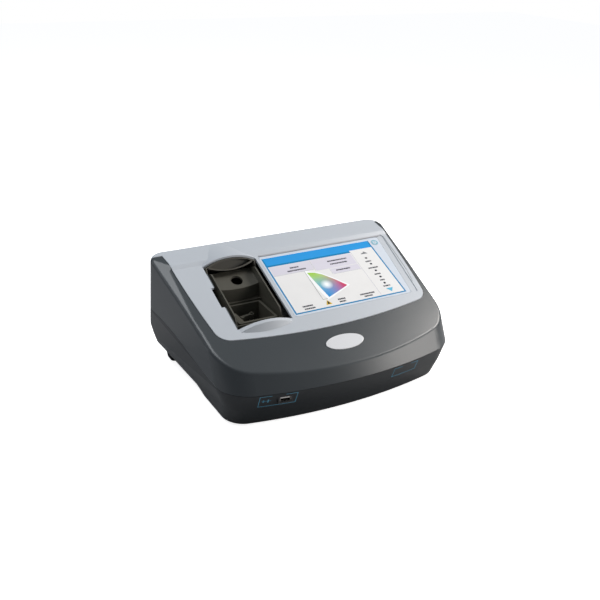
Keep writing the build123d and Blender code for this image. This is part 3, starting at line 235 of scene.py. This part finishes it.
finishes = {
    "base_plastic": mouldedPlastic("basePlastic", baseToneAndShade, 0.36, 0.9, 0.04, shine=0.4),
    "housing_plastic": mouldedPlastic("housingPlastic", housingTone, 0.32, 0.9, 0.04, shine=0.55),
    "foot_rubber": mouldedPlastic("footRubber", (0.014, 0.014, 0.015), 0.78, 1.6, 0.10),
    "screw_steel": drawnMetal("screwSteel", (0.50, 0.50, 0.51), 0.34, (1, 1, 1)),
    "cover_plastic": coverPlastic("coverPlastic"),
    "badge_enamel": mouldedPlastic("badgeEnamel", (0.72, 0.73, 0.75), 0.24, 1.2, 0.01, 0.02, 0.4),
    "dark_plastic": mouldedPlastic("wellPlastic", wellTone, 0.46, 0.8, 0.05),
    "guide_plastic": mouldedPlastic("guidePlastic", (0.085, 0.095, 0.105), 0.45, 0.8, 0.04),
    "black_plastic": mouldedPlastic("blackPlastic", (0.012, 0.012, 0.013), 0.44, 0.8, 0.04),
    "spring_steel": drawnMetal("springSteel", (0.56, 0.56, 0.55), 0.28, (1, 1, 6)),
    "overlay_film": screenPrint("overlayFilm", (0.58, 0.63, 0.70), 0.05),
    "display_panel": screenPrint("displayPanel", (0.30, 0.40, 0.50), 0.02),
    "zinc_sheet": drawnMetal("zincSheet", (0.50, 0.51, 0.52), 0.38, (1, 8, 1)),
    "board": circuitBoard("circuitBoard"),
    # the button's plastic glows faintly though it holds no lamp: a painted glow
    "button_plastic": screenPrint("buttonPlastic", (0.50, 0.57, 0.64), 0.03),
    "bezel_plastic": mouldedPlastic("bezelPlastic", (0.014, 0.015, 0.018), 0.30, 0.7, 0.02),
    "socket_steel": drawnMetal("socketSteel", (0.62, 0.60, 0.57), 0.26, (1, 6, 1)),
    "speaker_black": mouldedPlastic("speakerPaper", (0.020, 0.020, 0.020), 0.70, 1.4, 0.08),
    "cast_aluminium": drawnMetal("castAluminium", (0.42, 0.42, 0.43), 0.50, (1, 1, 1)),
    "bush_brass": drawnMetal("bushBrass", (0.72, 0.53, 0.25), 0.30, (1, 1, 5)),
    "mirror_glass": mirrorGlass("mirrorGlass"),
    "clear_glass": clearGlass("clearGlass", (0.90, 0.94, 0.95), 0.30),
    "filter_glass": clearGlass("filterGlass", (0.30, 0.45, 0.62), 0.60),
    "motor_steel": drawnMetal("motorSteel", (0.36, 0.36, 0.37), 0.36, (1, 1, 6)),
    "ceramic": mouldedPlastic("lampCeramic", (0.70, 0.69, 0.64), 0.42, 1.0, 0.03),
}
print("finishes ready:", len(finishes))

slotOf = {part["node"]: part["material_slot"] for part in frame["record"]["subparts"]}
for nodeName, nodeObject in nodes.items():
    nodeObject.data.materials.clear()
    nodeObject.data.materials.append(finishes[slotOf[nodeName]])
    for face in nodeObject.data.polygons:
        face.material_index = 0
print("finishes laid on the frame's nodes")


# ---- modelling helpers

panelFrame = Matrix((
    (1, 0, 0, zeroX),
    (0, math.cos(panelTilt), -math.sin(panelTilt), browY),
    (0, math.sin(panelTilt), math.cos(panelTilt), browZ),
    (0, 0, 0, 1),
))
deviceTop = -0.8


def deselectAll():
    if bpy.context.object and bpy.context.object.mode != "OBJECT":
        bpy.ops.object.mode_set(mode="OBJECT")
    bpy.ops.object.select_all(action="DESELECT")


def settle(piece, name, material, matrix=None):
    # the place goes into the mesh, and the object stays at the origin
    if matrix is not None:
        piece.matrix_world = matrix @ piece.matrix_world
    deselectAll()
    piece.select_set(True)
    bpy.context.view_layer.objects.active = piece
    bpy.ops.object.transform_apply(location=True, rotation=True, scale=True)
    piece.name = name
    piece.data.name = name
    piece.data.materials.clear()
    piece.data.materials.append(material)
    return piece


def joined(pieces):
    deselectAll()
    for piece in pieces:
        piece.select_set(True)
    bpy.context.view_layer.objects.active = pieces[0]
    if len(pieces) > 1:
        bpy.ops.object.join()
    return bpy.context.object


def applied(piece, kind, **settings):
    deselectAll()
    piece.select_set(True)
    bpy.context.view_layer.objects.active = piece
    modifier = piece.modifiers.new(kind.title(), kind)
    for key, value in settings.items():
        setattr(modifier, key, value)
    bpy.ops.object.modifier_apply(modifier=modifier.name)
    return piece


def drawnUp(piece, height):
    # ends the edit of a flat form by giving it its height, with its normals outward
    bpy.ops.mesh.extrude_region_move(TRANSFORM_OT_translate={"value": (0, 0, height * mm)})
    bpy.ops.mesh.select_all(action="SELECT")
    bpy.ops.mesh.normals_make_consistent(inside=False)
    bpy.ops.object.mode_set(mode="OBJECT")
    return piece


def plate(xs, ss, low, high, corner=0.0):
    # a thin rectangle on the panel: across, up the slope, and from low to high out of it
    deselectAll()
    middle = ((xs[0] + xs[1]) / 2 * mm, (ss[0] + ss[1]) / 2 * mm, low * mm)
    bpy.ops.mesh.primitive_plane_add(size=1, location=middle)
    piece = bpy.context.object
    piece.scale = ((xs[1] - xs[0]) * mm, (ss[1] - ss[0]) * mm, 1)
    bpy.ops.object.transform_apply(location=False, rotation=False, scale=True)
    bpy.ops.object.mode_set(mode="EDIT")
    bpy.ops.mesh.select_all(action="SELECT")
    if corner > 0:
        bpy.ops.mesh.bevel(offset=corner * mm, segments=6, affect="VERTICES")
    return drawnUp(piece, high - low)


def cutout(points, low, high):
    # a flat outline of any corners, given on the panel and drawn up from low to high
    deselectAll()
    bpy.ops.mesh.primitive_circle_add(vertices=len(points), radius=mm, fill_type="NGON")
    piece = bpy.context.object
    for corner, (across, slope) in zip(piece.data.vertices, points):
        corner.co = (across * mm, slope * mm, low * mm)
    bpy.ops.object.mode_set(mode="EDIT")
    bpy.ops.mesh.select_all(action="SELECT")
    return drawnUp(piece, high - low)


def onPanel(pieces, name, material, body="instrument", place=panelFrame):
    piece = settle(joined(pieces), name, material, place)
    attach(piece, body)


# ---- the display's picture, printed in thin layers on the touch film

screen = {
    "left": -44.0, "right": 122.5, "front": 95.0, "rear": 200.0, "border": 2.1,
    "column": 84.0, "header": 183.0, "stripe": 3.0, "headerRight": 187.0, "layer": 0.05,
}
tabs = [((-40.9, 18.5), (166.0, 182.2)), ((20.0, 83.0), (161.5, 182.2)), ((40.0, 83.0), (151.0, 160.6))]
tabCorner = 1.0
tabLines = [
    ((-41.9, 18.5), (165.0, 165.5)), ((18.9, 19.4), (162.0, 182.0)), ((39.0, 39.4), (150.5, 161.0)),
    ((40.0, 84.0), (150.2, 150.6)), ((84.4, 84.8), (99.0, 187.0)),
]
inks = {
    "border": screenPrint("inkBorder", (0.025, 0.20, 0.40), 0.12),
    "header": screenPrint("inkHeader", (0.028, 0.27, 0.62), 0.14),
    "headerLow": screenPrint("inkHeaderLow", (0.018, 0.19, 0.40), 0.12),
    "page": screenPrint("inkPage", (0.70, 0.695, 0.69), 0.12),
    "tab": screenPrint("inkTab", (0.61, 0.59, 0.66), 0.10),
    "tabEdge": screenPrint("inkTabEdge", (0.42, 0.42, 0.50), 0.06),
    "white": screenPrint("inkWhite", (0.80, 0.81, 0.82), 0.14),
    "word": screenPrint("inkWord", (0.030, 0.032, 0.045), 0.02),
    "line": screenPrint("inkLine", (0.20, 0.21, 0.22), 0.04),
    "yellow": screenPrint("inkYellow", (0.62, 0.42, 0.04), 0.12),
    "paleBlue": screenPrint("inkPaleBlue", (0.12, 0.42, 0.60), 0.12),
}


def layer(level):
    low = deviceTop + screen["layer"] * level
    return low, low + screen["layer"]


def buildScreen():
    left, right, front, rear = (screen[key] for key in ("left", "right", "front", "rear"))
    innerLeft, innerRight = left + screen["border"], right - screen["border"]
    innerFront, stripeRear = front + screen["border"], screen["header"] + screen["stripe"]
    low, high = layer(0)
    sides = [
        plate((left, innerLeft), (front, rear), low, high),
        plate((innerRight, right), (front, rear), low, high),
        plate((innerLeft, innerRight), (front, innerFront), low, high),
    ]
    onPanel(sides, "screenBorder", inks["border"])
    page = [plate((innerLeft, innerRight), (innerFront, screen["headerRight"]), low, high)]
    onPanel(page, "screenPage", inks["page"])
    band = [
        plate((innerLeft, innerRight), (screen["headerRight"], rear), low, high),
        plate((innerLeft, screen["column"]), (stripeRear, screen["headerRight"]), *layer(1)),
    ]
    onPanel(band, "screenHeader", inks["header"])
    low, high = layer(1)
    stripe = [plate((innerLeft, screen["column"]), (screen["header"], stripeRear), low, high)]
    onPanel(stripe, "screenHeaderStripe", inks["headerLow"])
    fields = [plate(xs, ss, low, high, tabCorner) for xs, ss in tabs]
    onPanel(fields, "screenTabs", inks["tab"])
    lines = [plate(xs, ss, low, high) for xs, ss in tabLines]
    onPanel(lines, "screenTabLines", inks["tabEdge"])


# a caption without letters: a run of short dark dashes of uneven length
def caption(across, slope, length, tall, rng):
    low, high = layer(2)
    dashes = []
    place = across - length / 2
    while place < across + length / 2 - 0.6:
        long = rng.uniform(0.7, 2.0)
        end = min(place + long, across + length / 2)
        dashes.append(plate((place, end), (slope - tall / 2, slope + tall / 2), low, high))
        place = end + rng.uniform(0.25, 0.5)
    return dashes


captions = [
    (-7.0, 175.0, 13.0), (-6.0, 169.6, 27.0), (58.0, 174.6, 30.0), (57.5, 168.6, 26.0), (58.0, 156.0, 22.0),
    (-22.0, 105.2, 15.0), (-21.0, 100.6, 15.0), (28.0, 105.6, 12.0), (27.2, 101.2, 9.0),
    (66.7, 105.5, 22.0), (66.6, 101.2, 13.0),
    (101.0, 161.3, 9.0), (101.0, 148.2, 15.0), (101.0, 135.6, 10.0), (101.5, 123.4, 8.0),
    (101.5, 111.9, 11.0),
]
captionTall = 2.3
icons = [(101.1, 168.0), (102.0, 155.8), (101.8, 142.2), (101.8, 129.6), (101.2, 117.4)]
icon = {"halfLong": 1.6, "halfTall": 1.5, "corner": 0.7}


def buildCaptions():
    rng = random.Random(7)
    dashes = []
    for across, slope, length in captions:
        dashes += caption(across, slope, length, captionTall, rng)
    low, high = layer(2)
    for across, slope in icons:
        xs = (across - icon["halfLong"], across + icon["halfLong"])
        ss = (slope - icon["halfTall"], slope + icon["halfTall"])
        dashes.append(plate(xs, ss, low, high, icon["corner"]))
    onPanel(dashes, "screenCaptions", inks["word"])


gamut = {
    "corners": [
        ((36.0, 142.0), (0.62, 0.20, 0.08, 1)),
        ((33.0, 119.0), (0.46, 0.07, 0.32, 1)),
        ((47.9, 126.6), (0.52, 0.012, 0.035, 1)),
        ((3.5, 134.0), (0.16, 0.50, 0.58, 1)),
        ((10.9, 159.2), (0.26, 0.48, 0.02, 1)),
        ((13.1, 112.5), (0.010, 0.22, 0.52, 1)),
    ],
    "reach": 38.0, "centre": (21.0, 133.0), "core": 9.0,
    "outline": [(13.1, 112.5), (47.9, 126.6), (36.5, 140.5), (23.9, 153.4), (15.0, 159.0), (4.9, 161.2)],
    "backing": [(10.0, 108.5), (52.0, 126.5), (36.0, 144.0), (22.0, 157.5), (2.0, 166.0), (4.4, 130.0)],
    "axes": [((2.5, 3.0), (110.5, 165.5)), ((2.5, 9.5), (110.2, 110.7))],
}
signs = {
    "warning": [(2.6, 100.4), (11.4, 100.4), (7.0, 108.6)],
    "warningMark": [(5.2, 101.4), (8.8, 101.4), (7.6, 106.4), (6.4, 106.4)],
    "down": [(97.4, 107.4), (102.6, 100.2), (107.8, 107.4)],
    "up": [(98.0, 176.4), (108.6, 176.4), (103.3, 181.4), (103.3, 179.8), (98.0, 177.6)],
}


def buildGamut():
    field = colourField("inkGamut", gamut["corners"], gamut["reach"], gamut["centre"], gamut["core"])
    onPanel([cutout(gamut["outline"], *layer(2))], "screenGamut", field)
    onPanel([cutout(gamut["backing"], *layer(1))], "screenGamutBack", inks["white"])
    axis = [plate(xs, ss, *layer(2)) for xs, ss in gamut["axes"]]
    onPanel(axis, "screenAxis", inks["line"])
    onPanel([cutout(signs["warning"], *layer(2))], "screenWarning", inks["yellow"])
    onPanel([cutout(signs["warningMark"], *layer(3))], "screenWarningMark", inks["word"])
    onPanel([cutout(signs["down"], *layer(2))], "screenDownArrow", inks["paleBlue"])
    onPanel([cutout(signs["up"], *layer(2))], "screenUpArrow", inks["line"])


buildScreen()
buildCaptions()
buildGamut()
print("display drawn")


# ---- power button's printed ring and bar

button = {
    "across": 130.5, "slope": 194.5, "top": -0.4, "ring": 3.9, "line": 0.55,
    "bar": ((130.1, 130.9), (194.2, 196.9)), "barHeight": 0.08,
}


def buildButtonPrint():
    print("power button")
    deselectAll()
    spot = (button["across"] * mm, button["slope"] * mm, (button["top"] + 0.02) * mm)
    bpy.ops.mesh.primitive_torus_add(
        location=spot, major_radius=button["ring"] * mm, minor_radius=button["line"] * mm,
        major_segments=48, minor_segments=8,
    )
    ring = bpy.context.object
    ring.scale = (1, 1, 0.12)
    mark = plate(*button["bar"], button["top"], button["top"] + button["barHeight"])
    # the printed ring and bar glow faintly though no lamp lights them: a painted glow
    teal = screenPrint("inkTeal", (0.05, 0.38, 0.48), 0.08)
    onPanel([ring, mark], "buttonRing", teal, "button")


buildButtonPrint()


# ---- painted shade on the step and groove moulded into the cover around the display

# the step up to the rear roof, with painted shade laid as dark strips on its foot, its face and its brink
step = {
    "y": 71.7, "z": 140.8, "run": 5.3, "rise": 4.1, "roofTilt": math.atan2(4.9, 41.8),
    "low": 0.02, "high": 0.12,
    "foot": [(-42.5, 204.6), (142.0, 204.6), (149.0, 206.9), (-46.0, 206.9)],
    "face": [(-46.0, 0.1), (149.0, 0.1), (151.0, 6.6007), (-56.0, 6.6007)],
    "brink": [(-56.0, 0.1), (151.0, 0.1), (151.5, 3.0), (-60.0, 2.2)],
}
# a dark line laid along the cover's groove right of the display: painted shade in the groove
groove = {
    "points": [(149.6, 203.0), (148.4, 170.0), (145.8, 132.0), (141.5, 110.0)],
    "wides": [0.55, 0.55, 0.385], "low": 0.02, "high": 0.10,
}


def slopeFrame(y, z, tilt):
    return Matrix.Translation((zeroX, y * mm, z * mm)) @ Matrix.Rotation(tilt, 4, "X")


def line(first, second, wide, low, high):
    # a straight bar on the panel between two points
    run, climb = second[0] - first[0], second[1] - first[1]
    long = math.hypot(run, climb)
    off = (-climb / long * wide / 2, run / long * wide / 2)
    return cutout([
        (first[0] + off[0], first[1] + off[1]), (first[0] - off[0], first[1] - off[1]),
        (second[0] - off[0], second[1] - off[1]), (second[0] + off[0], second[1] + off[1]),
    ], low, high)


def buildCoverLines():
    print("cover lines")
    # a grey darker than the cover: painted shade on and around the step
    paintedStepShade = mouldedPlastic("coverPaintedShade", (0.40, 0.405, 0.43), 0.45, 0.7, 0.02, 0.02)
    places = {
        "foot": panelFrame,
        "face": slopeFrame(step["y"], step["z"], math.atan2(step["rise"], step["run"])),
        "brink": slopeFrame(step["y"] + step["run"], step["z"] + step["rise"], step["roofTilt"]),
    }
    for part, place in places.items():
        strip = [cutout(step[part], step["low"], step["high"])]
        onPanel(strip, "step" + part.title(), paintedStepShade, place=place)
    # painted shade: a dark grey standing for the shadow inside the groove
    paintedGrooveShade = mouldedPlastic("groovePaintedShade", (0.10, 0.11, 0.12), 0.50, 0.7, 0.02, 0.02)
    runs = zip(groove["points"], groove["points"][1:], groove["wides"])
    right = [line(first, second, wide, groove["low"], groove["high"]) for first, second, wide in runs]
    onPanel(right, "coverGrooveShade", paintedGrooveShade)


buildCoverLines()


# ---- frames printed on the base beside the sockets

prints = {
    "left": {"xs": (-131.0, -86.0), "zs": (33.0, 50.0), "line": 0.7, "return": 0.32},
    "right": {"xs": (47.0, 86.0), "zs": (33.5, 48.5), "line": 0.7, "return": 0.32},
}
arrow = {
    "stem": ((-128.0, -117.0), (41.6, 42.6)),
    "bar": ((-121.0, -119.5), (39.5, 44.5)),
    "foot": ((-126.5, -125.0), (40.3, 43.9)),
}
skin = {"grid": 2.0, "start": -0.2, "clearance": 0.14, "thickness": 0.04}


def onFront(xs, zs, name, material):
    # a thin skin laid on the base's bowed front
    deselectAll()
    across, up = (max(2, int((span[1] - span[0]) / skin["grid"])) for span in (xs, zs))
    bpy.ops.mesh.primitive_grid_add(
        x_subdivisions=across, y_subdivisions=up, size=1, rotation=(math.pi / 2, 0, 0),
        location=((xs[0] + xs[1]) / 2 * mm + zeroX, skin["start"], (zs[0] + zs[1]) / 2 * mm),
    )
    piece = bpy.context.object
    piece.scale = ((xs[1] - xs[0]) * mm, (zs[1] - zs[0]) * mm, 1)
    settle(piece, name, material)
    applied(piece, "SHRINKWRAP", target=nodes["base_shell"], wrap_method="PROJECT", use_project_y=True,
            use_negative_direction=False, use_positive_direction=True,
            offset=skin["clearance"] * mm)
    return applied(piece, "SOLIDIFY", thickness=skin["thickness"] * mm, offset=1.0)


def finishPrint(pieces, name):
    piece = joined(pieces)
    piece.name = name
    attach(piece, "instrument")


def buildPrints():
    print("printed frames")
    # both inks glow faintly though no lamp lights them: a painted glow on the printed frames
    blue = screenPrint("inkFrameBlue", (0.10, 0.28, 0.40), 0.05)
    haze = screenPrint("inkFrameHaze", (0.06, 0.18, 0.26), 0.03)
    for side, sheet in prints.items():
        (left, right), (low, high), wide = sheet["xs"], sheet["zs"], sheet["line"]
        short = sheet["return"] * (right - left)
        bars = [
            ((left, right), (low, low + wide)),
            ((left, left + wide), (low + wide, high)),
            ((right - wide, right), (low + wide, high)),
            ((left + wide, left + short), (high - wide, high)),
            ((right - short, right - wide), (high - wide, high)),
        ]
        finishPrint([onFront(xs, zs, side + "Bar", blue) for xs, zs in bars], side + "FrontFrame")
    finishPrint([
        onFront(*arrow["stem"], "arrowStem", haze),
        onFront(*arrow["bar"], "arrowBar", blue),
        onFront(*arrow["foot"], "arrowFoot", blue),
    ], "socketMark")


buildPrints()


# ---- floor, light and camera

def buildStage():
    deselectAll()
    bpy.ops.mesh.primitive_plane_add(size=8, location=(0, 0, 0))
    floor = bpy.context.object
    finish = Finish("paleFloor")
    seen = finish.node("ShaderNodeLightPath", {}, {}, "Is Camera Ray")
    cloth = finish.node("ShaderNodeBsdfDiffuse", {}, {"Color": (0.92, 0.92, 0.92, 1)})
    glow = finish.node("ShaderNodeEmission", {}, {"Color": (1, 1, 1, 1), "Strength": 0.85})
    both = finish.node("ShaderNodeAddShader", {}, {0: cloth, 1: glow})
    dim = finish.node("ShaderNodeBsdfDiffuse", {}, {"Color": (0.50, 0.50, 0.51, 1)})
    shown = finish.node("ShaderNodeMixShader", {}, {0: seen, 1: dim, 2: both})
    finish.node("ShaderNodeOutputMaterial", {}, {"Surface": shown})
    settle(floor, "floor", finish.material)


ambient = 0.16


def buildWorld():
    world = bpy.data.worlds.new("studio")
    bpy.context.scene.world = world
    world.use_nodes = True
    tree = world.node_tree
    tree.nodes.clear()
    path = tree.nodes.new("ShaderNodeLightPath")
    soft = tree.nodes.new("ShaderNodeBackground")
    soft.inputs["Color"].default_value = (0.86, 0.92, 1.0, 1)
    soft.inputs["Strength"].default_value = ambient
    white = tree.nodes.new("ShaderNodeBackground")
    white.inputs["Color"].default_value = (1, 1, 1, 1)
    white.inputs["Strength"].default_value = 1.0
    blend = tree.nodes.new("ShaderNodeMixShader")
    end = tree.nodes.new("ShaderNodeOutputWorld")
    tree.links.new(path.outputs["Is Camera Ray"], blend.inputs[0])
    tree.links.new(soft.outputs[0], blend.inputs[1])
    tree.links.new(white.outputs[0], blend.inputs[2])
    tree.links.new(blend.outputs[0], end.inputs["Surface"])


middle = (0, 0, 0.06)
softboxes = {
    "rightSoftbox": {"at": (0.94, -0.02, 0.91), "size": 0.45, "watts": 10.0, "tint": (1.0, 0.96, 0.92)},
    "lowSoftbox": {"at": (0.85, -0.72, 0.30), "size": 0.60, "watts": 7.0, "tint": (1.0, 0.96, 0.92)},
    "topSoftbox": {"at": (-0.45, 0.35, 1.25), "size": 0.8, "watts": 9.0, "tint": (0.94, 0.97, 1.0)},
    "sideSoftbox": {"at": (-1.1, 0.8, 0.6), "size": 0.6, "watts": 1.2, "tint": (0.95, 0.98, 1.0)},
}


def buildLights():
    for name, box in softboxes.items():
        deselectAll()
        bpy.ops.object.light_add(type="AREA", location=box["at"])
        lamp = bpy.context.object
        lamp.name = name
        lamp.data.size = box["size"]
        lamp.data.energy = box["watts"]
        lamp.data.color = box["tint"]
        aim = Vector(middle) - Vector(box["at"])
        lamp.rotation_euler = aim.to_track_quat("-Z", "Y").to_euler()


view = {
    "from": (-0.467634, -0.798307, 0.534044), "to": (-0.014070, -0.001000, 0.103380),
    "roll": 2.0, "lens": 47.745,
}


def buildCamera():
    data = bpy.data.cameras.new("photoCamera")
    camera = bpy.data.objects.new("photoCamera", data)
    bpy.context.scene.collection.objects.link(camera)
    data.sensor_width = 36.0
    data.lens = view["lens"]
    aim = (Vector(view["to"]) - Vector(view["from"])).to_track_quat("-Z", "Y").to_matrix().to_4x4()
    roll = Matrix.Rotation(math.radians(view["roll"]), 4, "Z")
    camera.matrix_world = Matrix.Translation(view["from"]) @ aim @ roll
    bpy.context.scene.camera = camera


buildStage()
buildWorld()
buildLights()
buildCamera()
bpy.context.scene.view_settings.view_transform = "Standard"
print("stage, lights and camera set")
